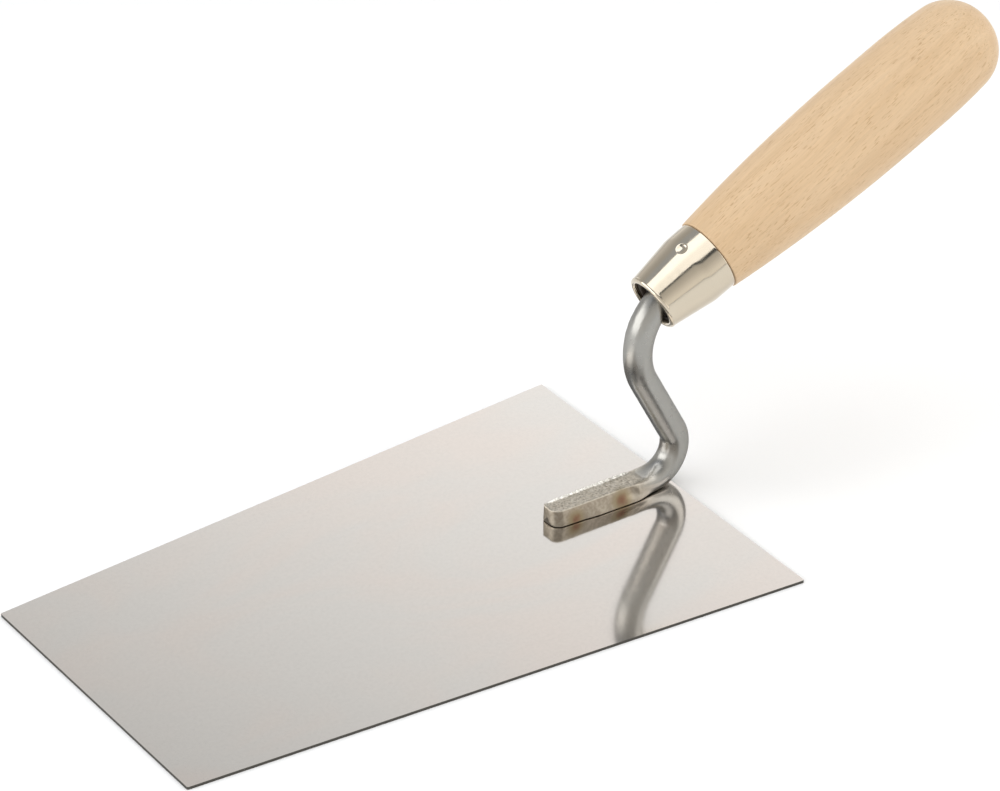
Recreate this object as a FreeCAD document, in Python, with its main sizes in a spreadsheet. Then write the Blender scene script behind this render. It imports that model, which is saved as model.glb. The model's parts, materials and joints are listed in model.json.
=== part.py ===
import FreeCAD, Part
import math
import os
import Sketcher

# A plasterer's trowel: a flat steel blade, a bent round neck spot-welded to it, and a turned beech
# handle in a metal ferrule. Frame in millimetres: the origin is the middle of the blade's underside,
# +X runs along the blade to the handle, +Z is up from the blade, and the object is mirrored in Y.

SIZES = (
    ("blade_length", 200.0, "along X"),
    ("blade_front_width", 100.0, "at the narrow end"),
    ("blade_rear_width", 130.0, "at the handle's end"),
    ("blade_thickness", 0.9, "flat sheet"),
    ("blade_corner_radius", 0.5, "the corners are only broken"),
    ("rod_diameter", 8.7, "round bar of the neck"),
    ("rod_height", 2.75, "the bar's centre line above the blade, along the foot"),
    ("foot_reach", 44.2, "from the blade's rear edge to the foot's tip"),
    ("foot_top", 5.5, "the pressed top above the blade"),
    ("foot_gap", 0.2, "seam between the foot and the blade"),
    ("foot_tip_radius", 2.7, "upright corners of the foot's tip"),
    ("foot_tip_chamfer", 0.6, "along the top of the tip"),
    ("tip_top_width", 6.3, "the foot's section at its tip"),
    ("tip_bottom_width", 6.9, "the foot's section at its tip"),
    ("waist_reach", 20.0, "where the foot is widest, ahead of the rear edge"),
    ("waist_top_width", 6.6, "the foot's section where it is widest"),
    ("waist_bottom_width", 9.6, "the foot's section where it is widest"),
    ("foot_end", 6.0, "where the foot has faded into the bar, ahead of the rear edge"),
    ("end_width", 5.6, "of the foot's section there, inside the bar"),
    ("bar_reach", 26.0, "where the round bar starts inside the foot, ahead of the rear edge"),
    ("side_press_width", 6.2, "of the bar where it goes into the foot"),
    ("side_press_end", 19.0, "where the pressed sides end, ahead of the rear edge"),
    ("side_runout_radius", 9.0, "of the press tool at the sides' ends"),
    ("top_press_end", 13.0, "where the pressed top ends, ahead of the rear edge"),
    ("top_runout_radius", 8.0, "of the press tool at the top's end"),
    ("bend_setback", 8.76, "where the lower bend starts, ahead of the rear edge"),
    ("lower_bend_radius", 10.2, "at the centre line"),
    ("lower_bend_turn", 118.63, "degrees, so the riser leans forward"),
    ("riser_length", 22.7, "straight stretch between the bends"),
    ("upper_bend_radius", 21.31, "at the centre line"),
    ("handle_tilt", 25.56, "degrees above the blade"),
    ("tang_straight", 42.0, "full bar inside the handle"),
    ("tang_taper", 30.0, "drawn-out end of the tang"),
    ("tang_tip_radius", 2.0, "at the end of the taper"),
    ("weld_radius", 2.2, "of each weld nugget"),
    ("weld_front", 36.5, "first weld, ahead of the rear edge"),
    ("weld_rear", 19.0, "second weld, ahead of the rear edge"),
    ("mouth_lead", 8.7, "the ferrule's mouth, ahead of the end of the upper bend"),
    ("mouth_radius", 8.9, "outside of the ferrule's mouth"),
    ("mouth_bore_radius", 7.4, "inside of the rolled lip"),
    ("lip_length", 1.4, "of the rolled lip"),
    ("lip_roll", 1.0, "outer rounding of the lip"),
    ("cone_length", 15.5, "from the mouth to the ferrule's straight part"),
    ("ferrule_radius", 11.3, "outside of the straight part"),
    ("ferrule_length", 22.8, "from the mouth to the rear rim"),
    ("ferrule_wall", 0.7, "drawn sheet"),
    ("shoulder_roll", 14.0, "rounding between the cone and the straight part"),
    ("dimple_place", 15.3, "from the mouth to the punched dimple"),
    ("dimple_ball", 2.7, "radius of the punch"),
    ("dimple_depth", 0.6, "below the ferrule's outside"),
    ("dimple_turn", 9.0, "degrees off the top, towards -Y"),
    ("wood_step_radius", 11.75, "of the wood just behind the ferrule"),
    ("wood_step_round", 0.35, "broken edge beside the ferrule"),
    ("bore_mouth_radius", 6.3, "countersink in the front of the wood"),
    ("swell_place", 81.3, "from the end of the upper bend to the thickest stretch"),
    ("swell_radius", 15.62, "of the thickest stretch"),
    ("swell_length", 12.0, "of the thickest stretch"),
    ("front_arc", 578.0, "radius of the long taper's outline"),
    ("crown_length", 19.4, "gentle fall towards the butt"),
    ("crown_radius", 14.68, "at the end of that fall"),
    ("crown_arc", 200.0, "radius of that fall's outline"),
    ("butt_corner_length", 11.7, "the round corner of the butt, along the axis"),
    ("butt_corner_radius", 5.42, "how far out the corner ends"),
    ("butt_corner_arc", 13.8, "radius of the corner's outline"),
    ("butt_crown_length", 0.9, "the domed end"),
    ("butt_arc", 16.7, "radius of the domed end"),
)

doc = FreeCAD.newDocument("trowel")
sheet = doc.addObject("Spreadsheet::Sheet", "sizes")


def fill_sheet():
    """One row for each driving size: its value, which takes the alias, its name and what it means."""
    for row, (alias, value, note) in enumerate(SIZES, start=1):
        sheet.set(f"A{row}", alias)
        sheet.set(f"B{row}", str(value))
        sheet.set(f"C{row}", note)
        sheet.setAlias(f"B{row}", alias)
    doc.recompute()


class Size:
    """A size worked out from the sheet: its value, and the expression that binds it to the cells."""

    def __init__(self, value, text):
        self.value = value
        self.text = text

    def __add__(self, other):
        return Size(self.value + other.value, f"({self.text} + {other.text})")

    def __sub__(self, other):
        return Size(self.value - other.value, f"({self.text} - {other.text})")

    def __mul__(self, other):
        return Size(self.value * other.value, f"({self.text} * {other.text})")

    def __truediv__(self, number):
        return Size(self.value / number, f"({self.text} / {number})")

    def __neg__(self):
        return Size(-self.value, f"(-{self.text})")

    def sin(self):
        return Size(math.sin(math.radians(self.value)), f"sin({self.text})")

    def cos(self):
        return Size(math.cos(math.radians(self.value)), f"cos({self.text})")


def size(alias):
    return Size(float(sheet.get(alias)), f"sizes.{alias}")


def fixed(number):
    return Size(number, str(number))


def bind(target, prop, amount):
    """Sets a property to a size and keeps it bound to the sheet."""
    target.setExpression(prop, amount.text)


def new_body(label):
    body = doc.addObject("PartDesign::Body", label)
    body.Label = label
    return body


def new_sketch(body, role, name, offset=None):
    """A sketch flat on one of the body's own origin planes, moved along its normal by offset."""
    plane = next(item for item in body.Origin.OriginFeatures if item.Role == role)
    sketch = body.newObject("Sketcher::SketchObject", name)
    sketch.AttachmentSupport = [(plane, "")]
    sketch.MapMode = "FlatFace"
    if offset is not None:
        bind(sketch, "AttachmentOffset.Base.z", offset)
    return sketch


def hold_point(sketch, item, end, point):
    """Fixes one end of a sketch element at a point given by two sizes."""
    for kind, axis, amount in (("DistanceX", -2, point[0]), ("DistanceY", -1, point[1])):
        if abs(amount.value) < 1e-9:
            sketch.addConstraint(Sketcher.Constraint("PointOnObject", item, end, axis))
        else:
            rule = Sketcher.Constraint(kind, -1, 1, item, end, amount.value)
            bind(sketch, f"Constraints[{sketch.addConstraint(rule)}]", amount)


def vector(point):
    return FreeCAD.Vector(point[0].value, point[1].value, 0)


def arc_between(start, end, radius, turns_left):
    """The arc under half a turn from start to end, which turns left or right on its way."""
    chord = end - start
    middle = (start + end) / 2
    side = FreeCAD.Vector(-chord.y, chord.x, 0)
    side.normalize()
    reach = math.sqrt(radius**2 - (chord.Length / 2) ** 2)
    centre = middle + side * (reach if turns_left else -reach)
    ends = (start, end) if turns_left else (end, start)
    angles = [math.atan2(p.y - centre.y, p.x - centre.x) for p in ends]
    circle = Part.Circle(centre, FreeCAD.Vector(0, 0, 1), radius)
    return Part.ArcOfCircle(circle, angles[0], angles[1])


def draw(sketch, corners, closed=True):
    """Draws straight stretches and arcs through the corners.

    A corner is (x, y), or (x, y, radius, "left" or "right") when the stretch from it to the next
    corner is an arc that turns that way.
    """
    stretches = len(corners) if closed else len(corners) - 1
    last_end = None
    for index in range(stretches):
        corner = corners[index]
        after = corners[(index + 1) % len(corners)]
        start, end = vector(corner), vector(after)
        first, second = 1, 2
        if len(corner) == 2:
            item = sketch.addGeometry(Part.LineSegment(start, end), False)
        else:
            turns_left = corner[3] == "left"
            arc = arc_between(start, end, corner[2].value, turns_left)
            item = sketch.addGeometry(arc, False)
            rule = Sketcher.Constraint("Radius", item, corner[2].value)
            bind(sketch, f"Constraints[{sketch.addConstraint(rule)}]", corner[2])
            if not turns_left:
                first, second = 2, 1
        if last_end is not None:
            sketch.addConstraint(Sketcher.Constraint("Coincident", *last_end, item, first))
        else:
            hold_point(sketch, item, first, corner)
            opening = (item, first)
        if index < len(corners) - 1:
            hold_point(sketch, item, second, after)
        else:
            sketch.addConstraint(Sketcher.Constraint("Coincident", item, second, *opening))
        last_end = (item, second)
    return sketch


def turn(body, kind, sketch, name):
    """A whole turn of the sketch about its own horizontal axis, which is the body's X axis."""
    feature = body.newObject(f"PartDesign::{kind}", name)
    feature.Profile = sketch
    feature.ReferenceAxis = (sketch, ["H_Axis"])
    feature.Angle = 360.0
    return feature


def cut_both_ways(body, sketch, name, width):
    """A pocket through the body to both sides of the sketch."""
    pocket = body.newObject("PartDesign::Pocket", name)
    pocket.Profile = sketch
    pocket.SideType = "Symmetric"
    bind(pocket, "Length", width)
    return pocket


def blade():
    """The sheet: a flat trapezium, wider at the handle's end, with its sharp corners just broken."""
    body = new_body("blade")
    half = size("blade_length") / 2
    front = size("blade_front_width") / 2
    rear = size("blade_rear_width") / 2
    outline = new_sketch(body, "XY_Plane", "blade_outline")
    draw(outline, [(-half, -front), (half, -rear), (half, rear), (-half, front)])
    pad = body.newObject("PartDesign::Pad", "blade_sheet")
    pad.Profile = outline
    bind(pad, "Length", size("blade_thickness"))
    doc.recompute()
    upright = [
        f"Edge{number}"
        for number, edge in enumerate(pad.Shape.Edges, start=1)
        if abs(edge.tangentAt(edge.FirstParameter).z) > 0.99
    ]
    fillet = body.newObject("PartDesign::Fillet", "blade_corners")
    fillet.Base = (pad, upright)
    bind(fillet, "Radius", size("blade_corner_radius"))
    return body


def bend_ends():
    """The ends of the two bends on the neck's centre line, as (x, z) in the plane of symmetry."""
    lean = size("lower_bend_turn")
    tilt = size("handle_tilt")
    low = size("lower_bend_radius")
    high = size("upper_bend_radius")
    start = (
        size("blade_length") / 2 - size("bend_setback"),
        size("blade_thickness") + size("rod_height"),
    )
    knee = (start[0] + low * lean.sin(), start[1] + low - low * lean.cos())
    riser = size("riser_length")
    top = (knee[0] + riser * lean.cos(), knee[1] + riser * lean.sin())
    end = (
        top[0] + high * lean.sin() - high * tilt.sin(),
        top[1] - high * lean.cos() + high * tilt.cos(),
    )
    return start, knee, top, end


def along_handle(point, distance, offset):
    """A point at a distance along the handle's axis and an offset above it, from point."""
    tilt = size("handle_tilt")
    return (
        point[0] + distance * tilt.cos() - offset * tilt.sin(),
        point[1] + distance * tilt.sin() + offset * tilt.cos(),
    )


def neck():
    """One bar: a foot pressed flat on four sides, two bends, and a tang with a drawn-out end."""
    body = new_body("neck")
    rear_edge = size("blade_length") / 2
    start, knee, top, end = bend_ends()
    low, high = size("lower_bend_radius"), size("upper_bend_radius")
    bar = size("rod_diameter") / 2
    bar_start = rear_edge - size("bar_reach")

    route = new_sketch(body, "XZ_Plane", "neck_route")
    draw(
        route,
        [
            (bar_start, start[1]),
            (*start, low, "left"),
            knee,
            (*top, high, "right"),
            end,
            along_handle(end, size("tang_straight"), fixed(0.0)),
        ],
        closed=False,
    )
    section = new_sketch(body, "YZ_Plane", "neck_section", offset=bar_start)
    centre = (fixed(0.0), start[1])
    circle = Part.Circle(vector(centre), FreeCAD.Vector(0, 0, 1), bar.value)
    ring = section.addGeometry(circle, False)
    hold_point(section, ring, 3, centre)
    rule = Sketcher.Constraint("Radius", ring, bar.value)
    bind(section, f"Constraints[{section.addConstraint(rule)}]", bar)
    pipe = body.newObject("PartDesign::AdditivePipe", "neck_bar")
    pipe.Profile = section
    pipe.Spine = (route, [f"Edge{number}" for number in range(1, route.GeometryCount + 1)])
    doc.recompute()

    press_bar(body, rear_edge)
    foot(body, rear_edge)
    tang(body, end, bar)
    return body


def tang(body, end, bar):
    """The drawn-out end of the bar, inside the handle."""
    taper_start = along_handle(end, size("tang_straight"), fixed(0.0))
    taper_end = along_handle(taper_start, size("tang_taper"), fixed(0.0))
    outline = new_sketch(body, "XZ_Plane", "tang_outline")
    draw(
        outline,
        [
            taper_start,
            taper_end,
            along_handle(taper_end, fixed(0.0), size("tang_tip_radius")),
            along_handle(taper_start, fixed(0.0), bar),
        ],
    )
    taper = body.newObject("PartDesign::Revolution", "tang_taper")
    taper.Profile = outline
    taper.ReferenceAxis = (outline, ["Edge1"])
    taper.Angle = 360.0


def press_bar(body, rear_edge):
    """Presses the bar's underside and top flat, and its sides where it goes into the foot."""
    clear = fixed(20.0)
    deck = size("blade_thickness")
    seam = deck + size("foot_gap")
    crest = deck + size("foot_top")
    ahead = rear_edge - size("foot_reach")
    behind = rear_edge + clear

    under = new_sketch(body, "XZ_Plane", "pressed_underside")
    draw(under, [(ahead, seam - clear), (behind, seam - clear), (behind, seam), (ahead, seam)])
    cut_both_ways(body, under, "press_underside", clear)

    flat_end = rear_edge - size("top_press_end")
    roll = size("top_runout_radius")
    above = new_sketch(body, "XZ_Plane", "pressed_top")
    draw(
        above,
        [
            (ahead, crest),
            (flat_end, crest, roll, "left"),
            (flat_end + roll, crest + roll),
            (ahead, crest + roll),
        ],
    )
    cut_both_ways(body, above, "press_top", clear)

    half = size("side_press_width") / 2
    side_end = rear_edge - size("side_press_end")
    side_roll = size("side_runout_radius")
    outer = half + side_roll
    for name, sign, way in (("near", fixed(-1.0), "right"), ("far", fixed(1.0), "left")):
        side = new_sketch(body, "XY_Plane", f"pressed_{name}_side")
        draw(
            side,
            [
                (ahead, sign * half),
                (side_end, sign * half, side_roll, way),
                (side_end + side_roll, sign * outer),
                (ahead, sign * outer),
            ],
        )
        pocket = body.newObject("PartDesign::Pocket", f"press_{name}_side")
        pocket.Profile = side
        pocket.Reversed = True
        bind(pocket, "Length", clear)


def foot(body, rear_edge):
    """The pressed foot: flat top and underside, sides that flare to the bottom, and a rounded tip."""
    tip = rear_edge - size("foot_reach")
    seam = size("blade_thickness") + size("foot_gap")
    crest = size("blade_thickness") + size("foot_top")
    stations = (
        (tip, size("tip_top_width") / 2, size("tip_bottom_width") / 2),
        (rear_edge - size("waist_reach"), size("waist_top_width") / 2, size("waist_bottom_width") / 2),
        (rear_edge - size("foot_end"), size("end_width") / 2, size("end_width") / 2),
    )
    sections = []
    for number, (place, top, bottom) in enumerate(stations, start=1):
        section = new_sketch(body, "YZ_Plane", f"foot_section_{number}", offset=place)
        draw(section, [(-bottom, seam), (bottom, seam), (top, crest), (-top, crest)])
        sections.append(section)
    loft = body.newObject("PartDesign::AdditiveLoft", "foot")
    loft.Profile = sections[0]
    loft.Sections = sections[1:]
    loft.Ruled = True
    doc.recompute()

    def at_tip(edge):
        ends = [vertex.Point for vertex in edge.Vertexes]
        return all(abs(point.x - tip.value) < 1e-4 for point in ends)

    upright = [
        f"Edge{number}"
        for number, edge in enumerate(loft.Shape.Edges, start=1)
        if at_tip(edge) and abs(edge.BoundBox.ZLength) > size("foot_top").value / 2
    ]
    corners = body.newObject("PartDesign::Fillet", "tip_corners")
    corners.Base = (loft, upright)
    bind(corners, "Radius", size("foot_tip_radius"))

    ease = size("foot_tip_chamfer")
    slope = new_sketch(body, "XZ_Plane", "tip_slope")
    draw(slope, [(tip - ease, crest - ease - ease), (tip + ease, crest), (tip - ease, crest)])
    cut_both_ways(body, slope, "tip_ease", size("waist_bottom_width"))


def spot_welds():
    """Two flat weld nuggets that fill the seam between the foot and the blade."""
    nuggets = []
    for place in ("weld_front", "weld_rear"):
        nugget = doc.addObject("Part::Cylinder", place)
        bind(nugget, "Radius", size("weld_radius"))
        bind(nugget, "Height", size("foot_gap"))
        bind(nugget, "Placement.Base.x", size("blade_length") / 2 - size(place))
        bind(nugget, "Placement.Base.z", size("blade_thickness"))
        nuggets.append(nugget)
    group = doc.addObject("Part::Compound", "spot_welds")
    group.Links = nuggets
    group.Label = "spot_welds"
    return group


def set_on_axis(body):
    """Puts a body that is modelled along its own X axis on the handle's axis."""
    end = bend_ends()[3]
    tilt = size("handle_tilt")
    body.Placement.Rotation = FreeCAD.Rotation(FreeCAD.Vector(0, -1, 0), tilt.value)
    bind(body, "Placement.Base.x", end[0])
    bind(body, "Placement.Base.z", end[1])
    bind(body, "Placement.Rotation.Angle", tilt)


def punch_ball(body, kind, name, radius):
    """A ball at the dimple's place, as large as the punch or as the punched-in sheet around it."""
    ball = body.newObject(f"PartDesign::{kind}", name)
    angle = size("dimple_turn")
    height = size("ferrule_radius") - size("dimple_depth") + size("dimple_ball")
    bind(ball, "Radius", radius)
    bind(ball, "AttachmentOffset.Base.x", size("dimple_place") - size("mouth_lead"))
    bind(ball, "AttachmentOffset.Base.y", -(height * angle.sin()))
    bind(ball, "AttachmentOffset.Base.z", height * angle.cos())
    plane = next(item for item in body.Origin.OriginFeatures if item.Role == "XY_Plane")
    ball.AttachmentSupport = [(plane, "")]
    ball.MapMode = "FlatFace"
    return ball


def ferrule():
    """Drawn sheet: a cone and a straight part, a rolled lip at the mouth and one punched dimple."""
    body = new_body("ferrule")
    wall = size("ferrule_wall")
    mouth = -size("mouth_lead")
    lip_end = mouth + size("lip_length")
    cone_end = mouth + size("cone_length")
    rim = mouth + size("ferrule_length")
    outside = size("ferrule_radius")
    outline = new_sketch(body, "XZ_Plane", "ferrule_section")
    draw(
        outline,
        [
            (mouth, size("mouth_bore_radius")),
            (lip_end, size("mouth_bore_radius")),
            (lip_end, inside_of_lip()),
            (cone_end, outside - wall),
            (rim, outside - wall),
            (rim, outside),
            (cone_end, outside),
            (mouth, size("mouth_radius")),
        ],
    )
    shell = turn(body, "Revolution", outline, "ferrule_shell")
    doc.recompute()
    lip = round_edges(body, shell, "rolled_lip", size("lip_roll"), mouth, size("mouth_radius"))
    round_edges(body, lip, "shoulder", size("shoulder_roll"), cone_end, outside)
    punch_ball(body, "AdditiveSphere", "punched_sheet", size("dimple_ball") + wall)
    trim = new_sketch(body, "XZ_Plane", "outside_trim")
    ball = size("dimple_ball") * fixed(3.0)
    before = cone_end - ball
    above = outside + ball
    rise = outside - size("mouth_radius")
    cone = outside - ball * fixed(rise.value / size("cone_length").value)
    draw(trim, [(before, cone), (cone_end, outside), (rim, outside), (rim, above), (before, above)])
    turn(body, "Groove", trim, "trim_to_outside")
    punch_ball(body, "SubtractiveSphere", "dimple", size("dimple_ball"))
    set_on_axis(body)
    return body


def inside_of_lip():
    """The ferrule's inner radius right behind its lip, on the inside of the cone."""
    rise = size("ferrule_radius") - size("mouth_radius")
    part_way = size("lip_length").value / size("cone_length").value
    return size("mouth_radius") - size("ferrule_wall") + rise * fixed(part_way)


def round_edges(body, base, name, radius, place, ring):
    """A fillet on the ring-shaped edge that lies at a place on the body's X axis."""
    edges = [
        f"Edge{number}"
        for number, edge in enumerate(base.Shape.Edges, start=1)
        if not edge.Degenerated
        and isinstance(edge.Curve, Part.Circle)
        and abs(edge.Curve.Center.x - place.value) < 1e-4
        and abs(edge.Curve.Radius - ring.value) < 1e-4
    ]
    fillet = body.newObject("PartDesign::Fillet", name)
    fillet.Base = (base, edges)
    bind(fillet, "Radius", radius)
    doc.recompute()
    return fillet


def handle():
    """Turned beech: a tenon inside the ferrule, a long swelling grip and a blunt round butt."""
    body = new_body("handle")
    wall = size("ferrule_wall")
    front = -size("mouth_lead") + size("lip_length")
    cone_end = -size("mouth_lead") + size("cone_length")
    joint = -size("mouth_lead") + size("ferrule_length")
    tenon = size("ferrule_radius") - wall
    swell = size("swell_place")
    crown = swell + size("swell_length")
    fall = crown + size("crown_length")
    corner = fall + size("butt_corner_length")
    butt = corner + size("butt_crown_length")
    bar = size("rod_diameter") / 2
    taper = size("tang_straight")
    bore_end = taper + size("tang_taper")

    outline = new_sketch(body, "XZ_Plane", "handle_section")
    draw(
        outline,
        [
            (front, size("bore_mouth_radius")),
            (front, inside_of_lip()),
            (cone_end, tenon),
            (joint, tenon),
            (joint, size("wood_step_radius"), size("front_arc"), "right"),
            (swell, size("swell_radius")),
            (crown, size("swell_radius"), size("crown_arc"), "right"),
            (fall, size("crown_radius"), size("butt_corner_arc"), "right"),
            (corner, size("butt_corner_radius"), size("butt_arc"), "right"),
            (butt, fixed(0.0)),
            (bore_end, fixed(0.0)),
            (bore_end, size("tang_tip_radius")),
            (taper, bar),
            (fixed(0.0), bar),
        ],
    )
    wood = turn(body, "Revolution", outline, "handle_turning")
    doc.recompute()
    step = size("wood_step_radius")
    round_edges(body, wood, "step_edge", size("wood_step_round"), joint, step)
    punch_ball(body, "SubtractiveSphere", "dimple_seat", size("dimple_ball") + wall)
    set_on_axis(body)
    return body


def faults(parts):
    """What is wrong with the document's objects or with the shapes of the parts."""
    found = []
    for item in doc.Objects:
        if "Invalid" in item.State or "Error" in item.State:
            found.append(f"{item.Name}: {item.State}")
    for part in parts:
        if part.Shape.isNull() or not part.Shape.isValid():
            found.append(f"{part.Label}: bad shape")
    return found


fill_sheet()
parts = [blade(), neck(), spot_welds(), ferrule(), handle()]
doc.recompute()
problems = faults(parts)
if problems:
    raise RuntimeError("; ".join(problems))
os.makedirs("parts", exist_ok=True)
for part in parts:
    part.Shape.exportStep(f"parts/{part.Label}.step")
    box = part.Shape.BoundBox
    print(f"{part.Label}: {len(part.Shape.Solids)} solids, {part.Shape.Volume:.1f} mm3, {box}")
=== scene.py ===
import json
import math
import bpy
from mathutils import Matrix, Vector, noise


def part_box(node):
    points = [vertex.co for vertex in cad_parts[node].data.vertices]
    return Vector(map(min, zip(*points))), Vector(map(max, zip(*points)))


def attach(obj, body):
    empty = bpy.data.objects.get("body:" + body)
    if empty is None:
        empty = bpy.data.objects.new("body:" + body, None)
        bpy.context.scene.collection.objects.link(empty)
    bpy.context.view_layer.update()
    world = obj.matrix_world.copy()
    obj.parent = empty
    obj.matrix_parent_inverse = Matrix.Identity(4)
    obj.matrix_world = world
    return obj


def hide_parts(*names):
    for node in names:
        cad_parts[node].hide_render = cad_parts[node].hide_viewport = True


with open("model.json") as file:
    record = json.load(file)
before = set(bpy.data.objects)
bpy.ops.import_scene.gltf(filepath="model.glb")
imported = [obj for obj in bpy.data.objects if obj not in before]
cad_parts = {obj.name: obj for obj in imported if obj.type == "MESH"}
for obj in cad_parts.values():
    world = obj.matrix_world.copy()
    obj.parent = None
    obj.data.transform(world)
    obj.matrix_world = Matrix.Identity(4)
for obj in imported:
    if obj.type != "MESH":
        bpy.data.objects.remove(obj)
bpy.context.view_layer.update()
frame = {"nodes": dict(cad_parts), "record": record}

MM = 0.001

# Sizes in millimetres. Stations on the handle's axis count from the end of the neck's upper bend.
BLADE_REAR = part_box("blade")[1][0] / MM
BLADE_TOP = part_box("blade")[1][2] / MM
BAR_RADIUS = 4.35
BAR_HEIGHT = BLADE_TOP + 2.75
SEAM = BLADE_TOP + 0.2
CREST = BLADE_TOP + 5.5
FOOT_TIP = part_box("neck")[0][0] / MM
TOP_PRESS_END = BLADE_REAR - 13.0
TOP_RUNOUT = 8.0
SIDE_PRESS_END = BLADE_REAR - 19.0
SIDE_RUNOUT = 9.0
SIDE_PRESS_HALF = 3.1
NOSE_RADIUS = 3.1
NOSE_FAR_RADIUS = 1.1
TIP_EASE = 0.7
BAR_START = BLADE_REAR - 26.0
FOOT_END = BLADE_REAR - 2.0
BEND_START = BLADE_REAR - 8.76
LOWER_BEND = (10.2, 118.63)
RISER = 22.7
UPPER_BEND = (21.31, -93.07)
TANG_STRAIGHT = 42.0
TANG_TAPER = 30.0
TANG_TIP = 2.0
BORE_END_RADIUS = 0.4

# The foot's half-widths as (place on X, half-width): its top, and its seam on the near and far side.
TOP_HALF = ((FOOT_TIP, 3.15), (80.0, 3.3), (88.0, 3.9))
NEAR_HALF = ((FOOT_TIP, 3.6), (64.0, 4.0), (72.0, 4.75), (84.0, 5.1), (94.0, 4.4))
FAR_HALF = ((FOOT_TIP, 3.35), (80.0, 4.5), (93.0, 4.5))
# The foot's share in the section behind BAR_START, as (place on X, share): high and low on the bar.
HIGH_SHARE = ((79.0, 1.0), (87.0, 0.0))
LOW_SHARE = ((84.5, 1.0), (94.0, 0.0))
HIGH_AT = -0.1
LOW_AT = 0.35
PRESS_BLEND = ((84.0, 0.6), (91.0, 1.6))
SEAM_BLEND = 0.2
FLANK_BLEND = 0.3
DECK_HEADING = math.radians(60.0)
CEILING_STEPS = 12
NEVER = 1e3

# The forge scale and the torn burr on the foot, and the press mark inside the lower bend.
SCALE_END = 94.0
SCALE_FADE = ((84.0, 1.0), (89.5, 0.0))
BURR_START = ((57.0, 0.4), (60.0, 1.0))
BURR_EDGE = 2.95
BURR_SPREAD = 0.6
CREASE_PLACE = (101.2, 16.5)
CREASE_DEPTH = 0.2
CREASE_SPREAD = 1.5
HEAT_SPOTS = ((63.0, 2.4, 1.0), (79.4, 3.2, 1.15))
HEAT_SIDE = 4.3

# How finely the neck's mesh is divided: rings at the tip, spacings along it, points round it.
NOSE_STEPS = 14
FOOT_SPACING = 0.16
BEND_SPACING = 0.35
STRAIGHT_SPACING = 0.7
TAPER_STEPS = 4
NECK_AROUND = 168

MOUTH = -8.7
LIP_LENGTH = 1.4
LIP_ROLL = 1.0
LIP_BULGE = 0.25
LIP_BACK = 0.3
LIP_INNER_ROLL = 0.7
MOUTH_RADIUS = 8.9
MOUTH_BORE = 7.35
SHOULDER = 6.8
SHOULDER_ROLL = 14.0
RIM = 14.1
RIM_ROLL = 0.3
FERRULE_RADIUS = 11.3
FERRULE_WALL = 0.7
FERRULE_AROUND = 320
DIMPLE_PLACE = 6.6
DIMPLE_TURN = math.radians(-9.0)
DIMPLE_BALL = 2.7
DIMPLE_DEPTH = 0.6
DIMPLE_SOFT = 0.12

WOOD_STEP = 11.75
WOOD_STEP_ROLL = 0.35
SWELL = (81.3, 15.62)
CROWN = (93.3, 15.62)
FALL = (112.7, 14.68)
CORNER = (124.4, 5.42)
BUTT = 125.3
WOOD_ARCS = (578.0, 200.0, 13.8, 16.7)
BORE_MOUTH = 6.3
GRAIN_LEAN = math.radians(4.0)
FIT_GAP = 0.05
HANDLE_AROUND = 256

# ---------------------------------------------------------------- camera
CAMERA_AZIMUTH = math.radians(-35.719)
CAMERA_ELEVATION = math.radians(31.719)
CAMERA_ROLL = math.radians(0.886)
CAMERA_PLACE = Vector((-0.6221, -0.9174, 0.7501))
CAMERA_LENS = 167.48
CAMERA_SENSOR = 36.0


def make_camera():
    """A long lens, above and to the left of the blade's front."""
    sine, cosine = math.sin(CAMERA_AZIMUTH), math.cos(CAMERA_AZIMUTH)
    level = math.cos(CAMERA_ELEVATION)
    back = Vector((sine * level, -cosine * level, math.sin(CAMERA_ELEVATION)))
    right = Matrix.Rotation(CAMERA_ROLL, 3, back) @ Vector((cosine, sine, 0.0))
    up = back.cross(right)
    data = bpy.data.cameras.new("camera")
    data.lens = CAMERA_LENS
    data.sensor_width = CAMERA_SENSOR
    data.clip_start = 0.05
    data.clip_end = 50.0
    camera = bpy.data.objects.new("camera", data)
    bpy.context.scene.collection.objects.link(camera)
    turn = Matrix((right, up, back)).transposed()
    camera.matrix_world = Matrix.Translation(CAMERA_PLACE) @ turn.to_4x4()
    bpy.context.scene.camera = camera


# ---------------------------------------------------------------- node helpers
def add(tree, kind, inputs=None, **settings):
    """A new node; an input given as a socket is linked, anything else becomes its value."""
    item = tree.nodes.new(kind)
    for key, value in settings.items():
        setattr(item, key, value)
    for key, value in (inputs or {}).items():
        if isinstance(value, bpy.types.NodeSocket):
            tree.links.new(value, item.inputs[key])
        else:
            item.inputs[key].default_value = value
    return item


def calc(tree, operation, first, second=0.0, third=0.0):
    """The output of one Math node."""
    inputs = {0: first, 1: second, 2: third}
    return add(tree, "ShaderNodeMath", inputs, operation=operation).outputs[0]


def remap(tree, value, low, high, start=0.0, end=1.0):
    """A smooth ramp of value from start at low to end at high."""
    inputs = {"Value": value, "From Min": low, "From Max": high, "To Min": start, "To Max": end}
    item = add(tree, "ShaderNodeMapRange", inputs, interpolation_type="SMOOTHSTEP")
    return item.outputs["Result"]


def mix(tree, factor, first, second):
    """Two colours mixed by a factor."""
    inputs = {0: factor, 6: first, 7: second}
    return add(tree, "ShaderNodeMix", inputs, data_type="RGBA").outputs[2]


def shade(tree, colour, factor):
    """A colour multiplied by a grey factor."""
    inputs = {0: 1.0, 6: colour, 7: factor}
    return add(tree, "ShaderNodeMix", inputs, data_type="RGBA", blend_type="MULTIPLY").outputs[2]


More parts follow.
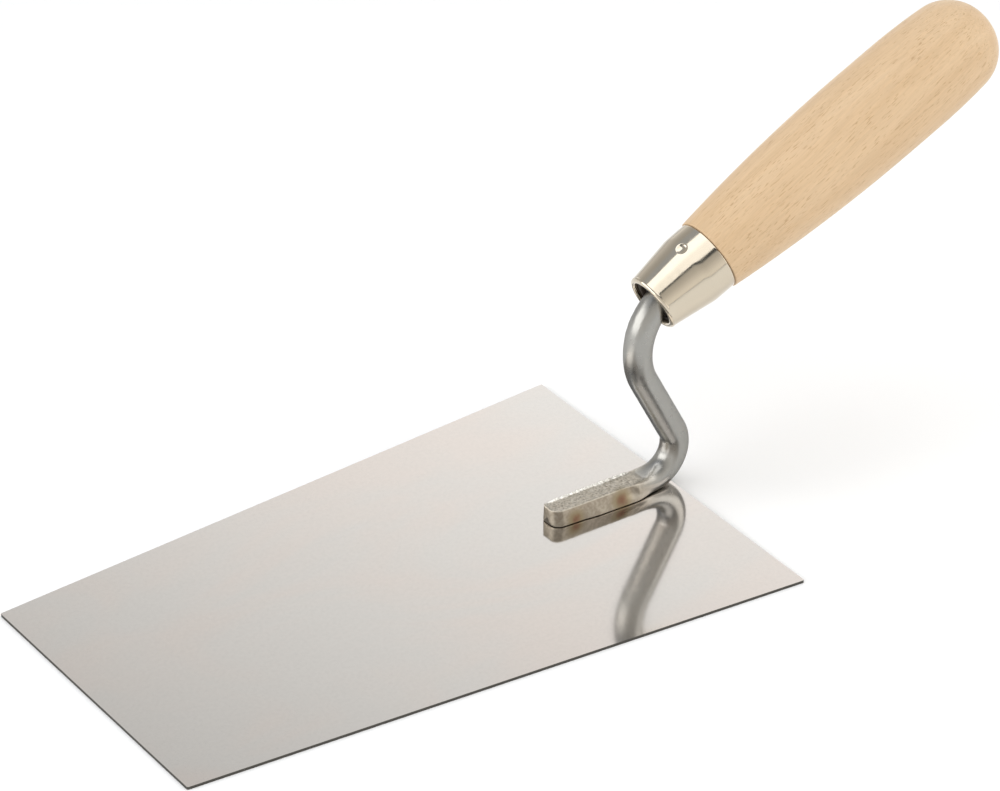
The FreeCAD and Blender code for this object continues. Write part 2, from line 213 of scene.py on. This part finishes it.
def millimetres(tree):
    """Places on the object, in millimetres."""
    place = add(tree, "ShaderNodeTexCoord").outputs["Object"]
    inputs = {0: place, "Scale": 1.0 / MM}
    return add(tree, "ShaderNodeVectorMath", inputs, operation="SCALE").outputs[0]


def stretch(tree, vector, factors):
    """A vector multiplied by one factor per axis."""
    inputs = {0: vector, 1: factors}
    return add(tree, "ShaderNodeVectorMath", inputs, operation="MULTIPLY").outputs[0]


def speckle(tree, vector, scale, detail=2.0, distortion=0.0):
    """Noise from 0 to 1."""
    inputs = {"Vector": vector, "Scale": scale, "Detail": detail, "Distortion": distortion}
    return add(tree, "ShaderNodeTexNoise", inputs).outputs["Fac"]


def bump(tree, height, distance, strength=1.0):
    """A normal that follows a height given in units of distance."""
    inputs = {"Height": height, "Distance": distance, "Strength": strength}
    return add(tree, "ShaderNodeBump", inputs).outputs["Normal"]


def new_material(name, metallic):
    """A material with a principled shader; returns it, its tree and the shader."""
    material = bpy.data.materials.new(name)
    material.use_nodes = True
    tree = material.node_tree
    shader = tree.nodes["Principled BSDF"]
    shader.inputs["Metallic"].default_value = metallic
    return material, tree, shader


def grey(value):
    """A colour with the same value in all channels."""
    return (value, value, value, 1.0)


# ---------------------------------------------------------------- stage
FLOOR_HALF = 6.0
FLOOR_DROP = 0.05 * MM
BACKDROP = (0.672, 0.720, 0.174)
BACKDROP_GLOW = 0.86
HAZE_GLOW = 0.25
GAP_GLOW = (0.50, 0.10)
CARD_TOP = 0.70
CARD_GLOW = (0.48, 0.95)


def area_light(name, place, target, width, height, radiance):
    """A soft box of the given size and brightness that faces the target."""
    data = bpy.data.lights.new(name, "AREA")
    data.shape = "RECTANGLE"
    data.size = width
    data.size_y = height
    data.energy = radiance * math.pi * width * height
    light = bpy.data.objects.new(name, data)
    bpy.context.scene.collection.objects.link(light)
    light.location = place
    aim = Vector(target) - Vector(place)
    light.rotation_mode = "QUATERNION"
    light.rotation_quaternion = aim.to_track_quat("-Z", "Y")


def make_floor():
    """A wide sheet of white paper just under the blade."""
    corners = [(FLOOR_HALF * x, FLOOR_HALF * y, 0) for x, y in ((-1, -1), (1, -1), (1, 1), (-1, 1))]
    mesh = bpy.data.meshes.new("floor")
    mesh.from_pydata(corners, [], [(0, 1, 2, 3)])
    floor = bpy.data.objects.new("floor", mesh)
    floor.location.z = -FLOOR_DROP
    bpy.context.scene.collection.objects.link(floor)
    material, _, shader = new_material("floor_paper", 0.0)
    shader.inputs["Base Color"].default_value = (0.97, 0.97, 0.965, 1.0)
    shader.inputs["Roughness"].default_value = 1.0
    shader.inputs["Specular IOR Level"].default_value = 0.0
    mesh.materials.append(material)


def make_world():
    """A dim studio with a glowing backdrop behind the trowel and a pale card before it."""
    world = bpy.data.worlds.new("studio")
    bpy.context.scene.world = world
    world.use_nodes = True
    tree = world.node_tree
    way = add(tree, "ShaderNodeTexCoord").outputs["Generated"]
    split = add(tree, "ShaderNodeSeparateXYZ", {0: way})
    centre = {0: way, 1: BACKDROP}
    near = add(tree, "ShaderNodeVectorMath", centre, operation="DOT_PRODUCT").outputs["Value"]
    glow = remap(tree, near, 0.84, 0.965, 0.0, BACKDROP_GLOW)
    low = remap(tree, split.outputs["Z"], CARD_TOP, 0.64)
    haze = remap(tree, split.outputs["Z"], 0.62, 0.1, 0.0, HAZE_GLOW)
    front = remap(tree, split.outputs["Y"], -0.15, -0.35)
    card = calc(tree, "MULTIPLY", low, front)
    gap = remap(tree, split.outputs["Y"], 0.05, -0.25, *GAP_GLOW)
    behind = calc(tree, "MULTIPLY", haze, calc(tree, "SUBTRACT", 1.0, front))
    lit = calc(tree, "ADD", calc(tree, "ADD", glow, gap), behind)
    pale = remap(tree, split.outputs["Z"], CARD_TOP, 0.0, *CARD_GLOW)
    lit = calc(tree, "MULTIPLY_ADD", card, pale, lit)
    high = remap(tree, split.outputs["Z"], 0.60, 0.75)
    colour = mix(tree, high, (1.0, 0.99, 0.975, 1.0), (0.93, 0.99, 1.08, 1.0))
    colour = mix(tree, card, colour, (1.0, 0.97, 0.92, 1.0))
    background = tree.nodes["Background"]
    tree.links.new(colour, background.inputs["Color"])
    tree.links.new(lit, background.inputs["Strength"])


# ---------------------------------------------------------------- materials
def blade_steel():
    """Rolled stainless sheet, nearly a mirror; its cut edges are rougher and painted near black, partly raw
    sheared steel and partly painted shade for the dark reflection they show.
    """
    material, tree, shader = new_material("blade_steel", 1.0)
    place = millimetres(tree)
    broad = speckle(tree, stretch(tree, place, (0.012, 0.02, 1.0)), 1.0, 3.0, 1.2)
    warm = remap(tree, broad, 0.35, 0.65)
    face = mix(tree, warm, (0.700, 0.680, 0.654, 1.0), (0.728, 0.676, 0.638, 1.0))
    fine = speckle(tree, place, 0.9, 4.0)
    face = shade(tree, face, remap(tree, fine, 0.2, 0.7, 0.97, 1.0))
    normal = add(tree, "ShaderNodeTexCoord").outputs["Normal"]
    upward = add(tree, "ShaderNodeSeparateXYZ", {0: normal}).outputs["Z"]
    flat = remap(tree, calc(tree, "ABSOLUTE", upward), 0.6, 0.9)
    # Cut edges painted near black: partly the rough sheared steel, partly painted shade standing in for the
    # dark reflection they show.
    colour = mix(tree, flat, (0.10, 0.095, 0.085, 1.0), face)
    tree.links.new(colour, shader.inputs["Base Color"])
    smear = speckle(tree, stretch(tree, place, (0.05, 0.05, 1.0)), 1.0, 3.0)
    satin = remap(tree, smear, 0.3, 0.7, 0.085, 0.105)
    rough = calc(tree, "MULTIPLY_ADD", flat, calc(tree, "SUBTRACT", satin, 0.5), 0.5)
    tree.links.new(rough, shader.inputs["Roughness"])
    ripple = speckle(tree, stretch(tree, place, (0.03, 0.05, 1.0)), 1.0, 2.0)
    tree.links.new(bump(tree, ripple, 0.02 * MM, 0.5), shader.inputs["Normal"])
    return material


def ferrule_nickel():
    """Bright nickel plate with a slight yellow warmth and soft handling marks."""
    material, tree, shader = new_material("ferrule_nickel", 1.0)
    place = millimetres(tree)
    cloud = speckle(tree, place, 0.12, 3.0, 0.5)
    colour = mix(tree, cloud, (0.60, 0.535, 0.425, 1.0), (0.64, 0.565, 0.455, 1.0))
    tree.links.new(colour, shader.inputs["Base Color"])
    smear = speckle(tree, place, 0.35, 4.0)
    tree.links.new(remap(tree, smear, 0.3, 0.7, 0.09, 0.15), shader.inputs["Roughness"])
    ripple = speckle(tree, place, 0.25, 2.0)
    tree.links.new(bump(tree, ripple, 0.02 * MM, 0.6), shader.inputs["Normal"])
    return material


def foot_scale(tree, place, split, steel):
    """The colour of the foot's worked surface, and the mask of the foot."""
    in_foot = remap(tree, split.outputs["X"], 95.0, 82.0)
    in_foot = calc(tree, "MULTIPLY", in_foot, remap(tree, split.outputs["Z"], CREST + 5.0, CREST + 2.0))
    normal = add(tree, "ShaderNodeTexCoord").outputs["Normal"]
    upward = add(tree, "ShaderNodeSeparateXYZ", {0: normal}).outputs["Z"]
    on_top = calc(tree, "MULTIPLY", remap(tree, upward, 0.5, 0.9), in_foot)
    cloud = remap(tree, speckle(tree, place, 0.8, 5.0, 0.6), 0.3, 0.7)
    worked = mix(tree, cloud, (0.305, 0.265, 0.212, 1.0), (0.41, 0.368, 0.302, 1.0))
    colour = mix(tree, in_foot, steel, worked)
    pits = remap(tree, speckle(tree, place, 1.6, 5.0), 0.32, 0.56, 0.62, 1.0)
    scaly = mix(tree, cloud, (0.47, 0.42, 0.345, 1.0), (0.61, 0.56, 0.48, 1.0))
    colour = mix(tree, on_top, colour, shade(tree, scaly, pits))
    # The foot's flanks are painted lighter in a band just below the crest.
    crest_band = remap(tree, split.outputs["Z"], CREST - 0.55, CREST - 0.15, 0.0, 0.6)
    beside = calc(tree, "SUBTRACT", 1.0, on_top)
    crest_band = calc(tree, "MULTIPLY", calc(tree, "MULTIPLY", crest_band, in_foot), beside)
    colour = mix(tree, crest_band, colour, (0.58, 0.54, 0.46, 1.0))
    # The raised burr is painted near white: partly bare torn steel, partly a painted highlight for the
    # bright band along the far edge.
    burr_and_highlight = remap(tree, split.outputs["Z"], CREST + 0.08, CREST + 0.18)
    burr_and_highlight = calc(tree, "MULTIPLY", burr_and_highlight, in_foot)
    return mix(tree, burr_and_highlight, colour, (0.88, 0.85, 0.78, 1.0)), in_foot


def heat_tint(tree, place, split, colour):
    """Brown spots with an olive fringe on both sides of the foot, where it was spot-welded."""
    beside = calc(tree, "ABSOLUTE", split.outputs["Y"])
    inputs = {0: split.outputs["X"], 1: beside, 2: split.outputs["Z"]}
    folded = add(tree, "ShaderNodeCombineXYZ", inputs).outputs[0]
    for spot_x, spot_z, spread in HEAT_SPOTS:
        centre = {0: folded, 1: (spot_x, HEAT_SIDE, spot_z)}
        gap = add(tree, "ShaderNodeVectorMath", centre, operation="DISTANCE").outputs["Value"]
        gap = calc(tree, "MULTIPLY_ADD", speckle(tree, place, 0.6, 3.0), 1.2, gap)
        gap = calc(tree, "DIVIDE", gap, spread)
        fringe = remap(tree, gap, 4.8, 2.2)
        core = remap(tree, gap, 2.9, 0.9)
        colour = mix(tree, fringe, colour, (0.275, 0.228, 0.148, 1.0))
        colour = mix(tree, core, colour, (0.205, 0.118, 0.078, 1.0))
    return colour


def neck_steel():
    """Satin steel bar; the pressed foot is scaly on top and tinted where it was spot-welded."""
    material, tree, shader = new_material("neck_steel", 1.0)
    place = millimetres(tree)
    split = add(tree, "ShaderNodeSeparateXYZ", {0: place})
    cloud = speckle(tree, place, 0.3, 4.0)
    steel = mix(tree, cloud, (0.335, 0.330, 0.310, 1.0), (0.375, 0.368, 0.345, 1.0))
    colour, in_foot = foot_scale(tree, place, split, steel)
    colour = heat_tint(tree, place, split, colour)
    tree.links.new(colour, shader.inputs["Base Color"])
    satin = remap(tree, speckle(tree, place, 0.5, 4.0), 0.3, 0.7, 0.27, 0.31)
    tree.links.new(mix(tree, in_foot, satin, grey(0.42)), shader.inputs["Roughness"])
    shader.inputs["Specular Tint"].default_value = grey(0.6)
    grain = speckle(tree, place, 1.5, 3.0)
    tree.links.new(bump(tree, grain, 0.004 * MM, 0.4), shader.inputs["Normal"])
    return material


def weld_metal():
    """Dull fused steel with a brown heat tint."""
    material, tree, shader = new_material("weld_metal", 1.0)
    place = millimetres(tree)
    cloud = speckle(tree, place, 1.5, 4.0)
    colour = mix(tree, cloud, (0.16, 0.10, 0.07, 1.0), (0.32, 0.26, 0.19, 1.0))
    tree.links.new(colour, shader.inputs["Base Color"])
    tree.links.new(remap(tree, cloud, 0.3, 0.7, 0.4, 0.6), shader.inputs["Roughness"])
    tree.links.new(bump(tree, cloud, 0.05 * MM), shader.inputs["Normal"])
    return material


def beech():
    """Pale beech with short dark flecks and faint growth bands; painted near black inside the ferrule as
    painted shade for the deep mouth.
    """
    material, tree, shader = new_material("handle_beech", 0.0)
    start, axis = handle_axis()
    raw_place = millimetres(tree)
    turned = {"Vector": raw_place, "Angle": math.atan2(axis.z, axis.x) + GRAIN_LEAN}
    place = add(tree, "ShaderNodeVectorRotate", turned, rotation_type="Y_AXIS").outputs["Vector"]
    band = speckle(tree, stretch(tree, place, (0.012, 0.22, 0.22)), 1.0, 3.0, 0.4)
    wood = mix(tree, remap(tree, band, 0.2, 0.8), (0.62, 0.43, 0.248, 1.0), (0.70, 0.508, 0.315, 1.0))
    fibre = speckle(tree, stretch(tree, place, (0.10, 2.2, 2.2)), 1.0, 3.0)
    wood = shade(tree, wood, remap(tree, fibre, 0.25, 0.75, 0.93, 1.03))
    fleck_noise = speckle(tree, stretch(tree, place, (0.34, 2.9, 2.9)), 1.0, 1.0)
    fleck = remap(tree, fleck_noise, 0.59, 0.69)
    patches = speckle(tree, stretch(tree, place, (0.05, 0.3, 0.3)), 1.0)
    fleck = calc(tree, "MULTIPLY", fleck, remap(tree, patches, 0.35, 0.6, 0.35, 1.0))
    wood = mix(tree, calc(tree, "MULTIPLY", fleck, 0.65), wood, (0.43, 0.255, 0.12, 1.0))
    # Inside the ferrule's mouth the end grain is painted near black: painted shade standing in for the dark
    # depth of the mouth.
    ahead = add(tree, "ShaderNodeVectorMath", {0: raw_place, 1: axis}, operation="DOT_PRODUCT")
    station = calc(tree, "SUBTRACT", ahead.outputs["Value"], start.dot(axis))
    wood = mix(tree, remap(tree, station, 12.0, 6.0), wood, (0.03, 0.02, 0.012, 1.0))
    tree.links.new(wood, shader.inputs["Base Color"])
    tree.links.new(remap(tree, fibre, 0.3, 0.7, 0.50, 0.62), shader.inputs["Roughness"])
    shader.inputs["Specular IOR Level"].default_value = 0.4
    shader.inputs["Sheen Weight"].default_value = 0.2
    shader.inputs["Sheen Roughness"].default_value = 0.4
    height = calc(tree, "MULTIPLY_ADD", fleck, -0.6, fibre)
    tree.links.new(bump(tree, height, 0.03 * MM, 0.6), shader.inputs["Normal"])
    return material


# ---------------------------------------------------------------- mesh helpers
def new_piece(name, vertices, faces, material):
    """A smooth-shaded mesh object; vertices are given in millimetres."""
    mesh = bpy.data.meshes.new(name)
    mesh.from_pydata([Vector(vertex) * MM for vertex in vertices], [], faces)
    mesh.materials.append(material)
    for face in mesh.polygons:
        face.use_smooth = True
    piece = bpy.data.objects.new(name, mesh)
    bpy.context.scene.collection.objects.link(piece)
    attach(piece, "root")
    return piece


def ring_faces(rings, around, closed_loop):
    """Quads between neighbouring rings of points, and from the last ring to the first in a loop."""
    faces = []
    for ring in range(rings if closed_loop else rings - 1):
        this, after = ring * around, ((ring + 1) % rings) * around
        for item in range(around):
            beside = (item + 1) % around
            faces.append((this + item, this + beside, after + beside, after + item))
    return faces


def fan(hub, first, around, flip):
    """Triangles from a hub to the ring of points that starts at first."""
    pairs = [(first + item, first + (item + 1) % around) for item in range(around)]
    return [(hub, *reversed(pair)) if flip else (hub, *pair) for pair in pairs]


def steps(start, end, spacing):
    """Evenly spaced fractions from 0 to 1, without the last one, for a stretch of this length."""
    count = max(1, math.ceil(math.dist(start, end) / spacing))
    return [number / count for number in range(count)]


def straight(start, end, spacing):
    """Points from start up to, but not including, end."""
    first, last = Vector(start), Vector(end)
    return [tuple(first.lerp(last, part)) for part in steps(start, end, spacing)]


def arc(start, end, radius, spacing):
    """Points on an arc that bulges to the left of the way from start to end, without its end."""
    first, last = Vector(start), Vector(end)
    half = (last - first).length / 2
    side = Vector((last.y - first.y, first.x - last.x)).normalized()
    centre = (first + last) / 2 + side * math.sqrt(radius * radius - half * half)
    sweep = 2 * math.asin(half / radius)
    out = first - centre
    return [tuple(centre + Matrix.Rotation(-sweep * part, 2) @ out) for part in steps(start, end, spacing)]


def handle_axis():
    """The start of the handle's axis and its direction, from the grip mount."""
    grip = next(item for item in frame["record"]["mounts"] if item["name"] == "grip")
    axis = Vector(grip["axis"]).normalized()
    middle = (SWELL[0] + CROWN[0]) / 2
    start = Vector(grip["pos_m"]) / MM - axis * middle
    return start, axis


def lathe(profile, around, bend=None):
    """Rings of points about the handle's axis; bend may change a point's radius."""
    start, axis = handle_axis()
    upward = Vector((-axis.z, 0.0, axis.x))
    aside = Vector((0.0, 1.0, 0.0))
    points = []
    for station, radius in profile:
        for item in range(around):
            angle = 2 * math.pi * item / around
            reach = bend(station, radius, angle) if bend else radius
            out = upward * math.cos(angle) + aside * math.sin(angle)
            points.append(start + axis * station + reach * out)
    return points


# ---------------------------------------------------------------- ferrule
def cone_radius(station):
    """The ferrule's outer radius on its cone."""
    part = (station - MOUTH) / (SHOULDER - MOUTH)
    return MOUTH_RADIUS + (FERRULE_RADIUS - MOUTH_RADIUS) * part


def dent(station, radius, angle):
    """Pushes the sheet in at the dimple, outside and inside alike, with soft edges."""
    centre = FERRULE_RADIUS - DIMPLE_DEPTH + DIMPLE_BALL
    across = radius * (angle if angle < math.pi else angle - 2 * math.pi) - FERRULE_RADIUS * DIMPLE_TURN
    off = math.hypot(station - DIMPLE_PLACE, across)
    if off >= DIMPLE_BALL or radius < FERRULE_RADIUS - 3 * FERRULE_WALL:
        return radius
    depth = FERRULE_RADIUS - (centre - math.sqrt(DIMPLE_BALL**2 - off**2))
    return radius - (depth + math.sqrt(depth * depth + DIMPLE_SOFT**2)) / 2


def lip_profile(fine):
    """The rolled lip, from its bore round the bead to the start of the cone."""
    bore_edge = (MOUTH + LIP_INNER_ROLL, MOUTH_BORE)
    bore_face = (MOUTH, MOUTH_BORE + LIP_INNER_ROLL)
    bead_face = (MOUTH, MOUTH_RADIUS + LIP_BULGE - LIP_ROLL)
    bead_top = (MOUTH + LIP_ROLL, MOUTH_RADIUS + LIP_BULGE)
    cone_start = (bead_top[0] + LIP_BACK, cone_radius(bead_top[0] + LIP_BACK))
    profile = arc(bore_edge, bore_face, LIP_INNER_ROLL, fine)
    profile += straight(bore_face, bead_face, fine)
    profile += arc(bead_face, bead_top, LIP_ROLL, fine)
    profile += straight(bead_top, cone_start, fine)
    return profile, cone_start


def ferrule(material):
    """Drawn sheet with a rolled lip, a cone, a softly rounded shoulder and a straight part."""
    fine, coarse = 0.12, 0.3
    slope = math.atan2(FERRULE_RADIUS - MOUTH_RADIUS, SHOULDER - MOUTH)
    ease = SHOULDER_ROLL * math.tan(slope / 2)
    before = SHOULDER - ease * math.cos(slope)
    cone_end = (before, cone_radius(before))
    shoulder_end = (SHOULDER + ease, FERRULE_RADIUS)
    rim_edge = (RIM - RIM_ROLL, FERRULE_RADIUS)
    rim_face = (RIM, FERRULE_RADIUS - RIM_ROLL)
    inner = FERRULE_RADIUS - FERRULE_WALL
    behind_lip = MOUTH + LIP_LENGTH
    cone_inside = (behind_lip, cone_radius(behind_lip) - FERRULE_WALL)
    profile, cone_start = lip_profile(fine)
    profile += straight(cone_start, cone_end, fine)
    profile += arc(cone_end, shoulder_end, SHOULDER_ROLL, fine)
    profile += straight(shoulder_end, rim_edge, 0.2)
    profile += arc(rim_edge, rim_face, RIM_ROLL, fine)
    profile += straight(rim_face, (RIM, inner), fine)
    profile += straight((RIM, inner), (SHOULDER, inner), coarse)
    profile += straight((SHOULDER, inner), cone_inside, 1.0)
    profile += straight(cone_inside, (behind_lip, MOUTH_BORE), coarse)
    profile += straight((behind_lip, MOUTH_BORE), (MOUTH + LIP_INNER_ROLL, MOUTH_BORE), coarse)
    points = lathe(profile[::-1], FERRULE_AROUND, dent)
    faces = ring_faces(len(profile), FERRULE_AROUND, closed_loop=True)
    piece = new_piece("nickel_ferrule", points, faces, material)
    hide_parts("ferrule")


# ---------------------------------------------------------------- handle
def tenon_profile(front, joint, coarse):
    """The bore for the tang from its blind end, the countersunk front and the tenon's outside."""
    tenon = FERRULE_RADIUS - FERRULE_WALL - FIT_GAP
    shoulder_seat = cone_radius(front) - FERRULE_WALL - FIT_GAP
    bar = BAR_RADIUS + FIT_GAP
    tang_end = TANG_STRAIGHT + TANG_TAPER
    profile = straight((tang_end, BORE_END_RADIUS), (tang_end, TANG_TIP), 1.0)
    profile += straight((tang_end, TANG_TIP), (TANG_STRAIGHT, bar), 5.0)
    profile += straight((TANG_STRAIGHT, bar), (0.0, bar), 5.0)
    profile += straight((0.0, bar), (front, BORE_MOUTH), 0.6)
    profile += straight((front, BORE_MOUTH), (front, shoulder_seat), 0.3)
    profile += straight((front, shoulder_seat), (SHOULDER, tenon), coarse)
    profile += straight((SHOULDER, tenon), (joint, tenon), coarse)
    return profile, tenon


def handle(material):
    """Turned grip with its tenon and bore: the tenon's end shows inside the ferrule's mouth."""
    fine, coarse = 0.1, 0.8
    front = MOUTH + LIP_LENGTH + FIT_GAP
    joint = RIM + 2 * FIT_GAP
    step_face = (joint, WOOD_STEP - WOOD_STEP_ROLL)
    step_top = (joint + WOOD_STEP_ROLL, WOOD_STEP)
    profile, tenon = tenon_profile(front, joint, coarse)
    profile += straight((joint, tenon), step_face, fine)
    profile += arc(step_face, step_top, WOOD_STEP_ROLL, fine / 2)
    profile += arc(step_top, SWELL, WOOD_ARCS[0], coarse)
    profile += straight(SWELL, CROWN, coarse)
    profile += arc(CROWN, FALL, WOOD_ARCS[1], coarse)
    profile += arc(FALL, CORNER, WOOD_ARCS[2], coarse / 2)
    profile += arc(CORNER, (BUTT, 0.0), WOOD_ARCS[3], coarse / 2)

    def tenon_dent(station, radius, angle):
        """The dimple pressed into the tenon, a fit gap under the sheet."""
        return dent(station, radius + FIT_GAP, angle) - FIT_GAP if front < station < joint else radius

    points = lathe(profile[::-1], HANDLE_AROUND, tenon_dent)
    faces = ring_faces(len(profile), HANDLE_AROUND, closed_loop=False)
    start, axis = handle_axis()
    last = (len(profile) - 1) * HANDLE_AROUND
    for station, first in ((BUTT, 0), (TANG_STRAIGHT + TANG_TAPER, last)):
        points.append(start + axis * station)
        faces += fan(len(points) - 1, first, HANDLE_AROUND, flip=first == 0)
    piece = new_piece("beech_handle", points, faces, material)
    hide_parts("handle")


# ---------------------------------------------------------------- neck
def soft_min(first, second, blend):
    """The smaller value, with a rounded change from one to the other."""
    part = max(blend - abs(first - second), 0.0) / blend
    return min(first, second) - part * part * blend / 4


def soft_max(first, second, blend):
    """The larger value, with a rounded change from one to the other."""
    return -soft_min(-first, -second, blend)


def along(place, marks):
    """The value between marks (place, value), eased from one to the next."""
    if place <= marks[0][0]:
        return marks[0][1]
    for (low, start), (high, end) in zip(marks, marks[1:]):
        if place <= high:
            part = (place - low) / (high - low)
            part = part * part * (3 - 2 * part)
            return start + (end - start) * part
    return marks[-1][1]


def run_out(place, end, radius):
    """How far a pressed flat has risen at a place behind its end, on its run-out arc."""
    over = min(max(place - end, 0.0), radius)
    return radius - math.sqrt(radius * radius - over * over)


def nose(place, radius):
    """How far the foot's side is drawn in at its rounded tip."""
    over = max(radius - (place - FOOT_TIP), 0.0)
    return radius - math.sqrt(max(radius * radius - over * over, 0.0))


def tip_drop(place):
    """How far the foot's top is eased down along its tip."""
    over = max(TIP_EASE - (place - FOOT_TIP), 0.0)
    return TIP_EASE - math.sqrt(max(TIP_EASE**2 - over**2, 0.0))


def side_reach(across, upward, top, bottom, middle):
    """The way out to a flank that leans from half-width bottom at the seam to top at the crest."""
    lean = (bottom - top) / (CREST - SEAM)
    offset = bottom - lean * (middle - SEAM)
    closing = across + lean * upward
    return offset / closing if closing > 1e-4 else NEVER


def press_ceiling(x, z, heading, upward, bar):
    """The way up to the pressed top and its run-out, found by steps that are averaged."""
    rise = upward * math.cos(heading)
    reach = bar
    ceiling = NEVER
    for _ in range(CEILING_STEPS):
        spot = x - reach * upward * math.sin(heading)
        crest = CREST + run_out(spot, TOP_PRESS_END, TOP_RUNOUT) - tip_drop(spot)
        ceiling = (crest - z) / rise
        reach = (reach + min(bar, ceiling)) / 2
    return ceiling


def foot_reach(x, z, across, upward, rise, floor):
    """The foot's own section: leaning flanks, a flat top and a flat seam."""
    near = across < 0
    pull = nose(x, NOSE_RADIUS if near else NOSE_FAR_RADIUS)
    top = along(x, TOP_HALF)
    bottom = along(x, NEAR_HALF if near else FAR_HALF)
    side = side_reach(abs(across), upward, top - pull, bottom - pull, z)
    lid = (CREST - tip_drop(x) - z) / rise if rise > 1e-4 else NEVER
    return soft_min(side, soft_min(lid, floor, SEAM_BLEND), FLANK_BLEND)


def section_reach(x, z, heading, angle, bar):
    """The bar's radius at an angle about its centreline: 0 is +Y, a quarter turn is outwards."""
    across, upward = math.cos(angle), math.sin(angle)
    rise = upward * math.cos(heading)
    floor = (z - SEAM) / -rise if rise < -1e-4 else NEVER
    on_deck = heading < DECK_HEADING and z < CREST
    ceiling = press_ceiling(x, z, heading, upward, bar) if on_deck and rise > 1e-4 else NEVER
    flank = (SIDE_PRESS_HALF + run_out(x, SIDE_PRESS_END, SIDE_RUNOUT)) / max(abs(across), 1e-4)
    blend = along(x, PRESS_BLEND)
    beside, level = soft_min(bar, flank, FLANK_BLEND), soft_min(ceiling, floor, SEAM_BLEND)
    pressed = soft_min(beside, level, blend)
    if not on_deck or x >= FOOT_END:
        return pressed
    foot = foot_reach(x, z, across, upward, rise, floor)
    if x < BAR_START:
        return foot
    share = along(-upward, ((HIGH_AT, along(x, HIGH_SHARE)), (LOW_AT, along(x, LOW_SHARE))))
    return pressed + share * (soft_max(pressed, foot, FLANK_BLEND) - pressed)


def route():
    """Stations along the bar: x, z, heading and radius, fine in the foot and coarser behind it."""
    stations = []
    for number in range(NOSE_STEPS):
        part = number / NOSE_STEPS
        over = NOSE_RADIUS * (1 - math.cos(part * math.pi / 2))
        stations.append((FOOT_TIP + over, BAR_HEIGHT, 0.0, BAR_RADIUS))
    start = FOOT_TIP + NOSE_RADIUS
    count = round((BEND_START - start) / FOOT_SPACING)
    for number in range(count):
        stations.append((start + (BEND_START - start) * number / count, BAR_HEIGHT, 0.0, BAR_RADIUS))
    x, z, heading = BEND_START, BAR_HEIGHT, 0.0
    for radius, degrees, length in ((*LOWER_BEND, RISER), (*UPPER_BEND, TANG_STRAIGHT)):
        turn = math.radians(degrees)
        side = math.copysign(1.0, turn)
        centre_x, centre_z = x - side * radius * math.sin(heading), z + side * radius * math.cos(heading)
        count = round(abs(turn) * radius / BEND_SPACING)
        for number in range(count):
            now = heading + turn * number / count
            place = (centre_x + side * radius * math.sin(now), centre_z - side * radius * math.cos(now))
            stations.append((*place, now, BAR_RADIUS))
        heading += turn
        x, z = centre_x + side * radius * math.sin(heading), centre_z - side * radius * math.cos(heading)
        count = round(length / STRAIGHT_SPACING)
        for number in range(count):
            run = length * number / count
            stations.append((x + run * math.cos(heading), z + run * math.sin(heading), heading, BAR_RADIUS))
        x, z = x + length * math.cos(heading), z + length * math.sin(heading)
    for number in range(TAPER_STEPS + 1):
        part = number / TAPER_STEPS
        run = TANG_TAPER * part
        bar = BAR_RADIUS + (TANG_TIP - BAR_RADIUS) * part
        stations.append((x + run * math.cos(heading), z + run * math.sin(heading), heading, bar))
    return stations


def roughen(x, y, z):
    """Scale on the pressed top and a torn burr along its far edge."""
    if z < CREST - 0.8 or x > SCALE_END:
        return z
    on_top = along(z, ((CREST - 0.5, 0.0), (CREST - 0.15, 1.0))) * along(x, SCALE_FADE)
    scale = 0.07 * noise.noise(Vector((x * 0.9, y * 1.1, 3.0)))
    scale += 0.06 * noise.noise(Vector((x * 2.3, y * 2.3, 9.0)))
    tear = 0.48 + 0.45 * noise.noise(Vector((x * 0.8, 1.0, 5.0)))
    tear += 0.30 * noise.noise(Vector((x * 2.2, 4.0, 2.0)))
    burr = max(tear, 0.0) * math.exp(-(((y - BURR_EDGE) / BURR_SPREAD) ** 2)) * along(x, BURR_START)
    return z + on_top * (scale + burr)


def crease(x, z, angle):
    """A press mark on the inside of the lower bend."""
    inward = max(math.sin(angle), 0.0)
    here = math.dist((x, z), CREASE_PLACE)
    return CREASE_DEPTH * inward**2 * math.exp(-((here / CREASE_SPREAD) ** 2))


def neck(material):
    """One bar: a foot pressed flat on four sides, two bends, and a tang with a drawn-out end."""
    stations = route()
    points = []
    for x, z, heading, bar in stations:
        for item in range(NECK_AROUND):
            angle = 2 * math.pi * item / NECK_AROUND
            reach = section_reach(x, z, heading, angle, bar) - crease(x, z, angle)
            y = reach * math.cos(angle)
            out = reach * math.sin(angle)
            place_x, place_z = x - out * math.sin(heading), z + out * math.cos(heading)
            points.append((place_x, y, roughen(place_x, y, place_z)))
    faces = ring_faces(len(stations), NECK_AROUND, closed_loop=False)
    last = (len(stations) - 1) * NECK_AROUND
    for first in (0, last):
        ring = points[first:first + NECK_AROUND]
        points.append(tuple(sum(values) / NECK_AROUND for values in zip(*ring)))
        faces += fan(len(points) - 1, first, NECK_AROUND, flip=first == 0)
    piece = new_piece("bent_neck", points, faces, material)
    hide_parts("neck")


def dress(node, material):
    """Gives a CAD node its material."""
    for slot in frame["nodes"][node].material_slots:
        slot.material = material


make_camera()
make_floor()
make_world()
area_light("top_softbox", (0.05, -0.20, 1.3), (0.05, -0.20, 0.0), 1.4, 1.5, 1.5)
area_light("left_softbox", (-1.12, 0.34, 0.44), (0.09, 0.0, 0.04), 1.6, 0.72, 2.3)
area_light("right_softbox", (1.1, -0.75, 0.6), (0.1, 0.0, 0.03), 1.2, 0.9, 1.7)
bpy.context.scene.view_settings.view_transform = "Standard"

dress("blade", blade_steel())
dress("spot_welds", weld_metal())
ferrule(ferrule_nickel())
handle(beech())
neck(neck_steel())
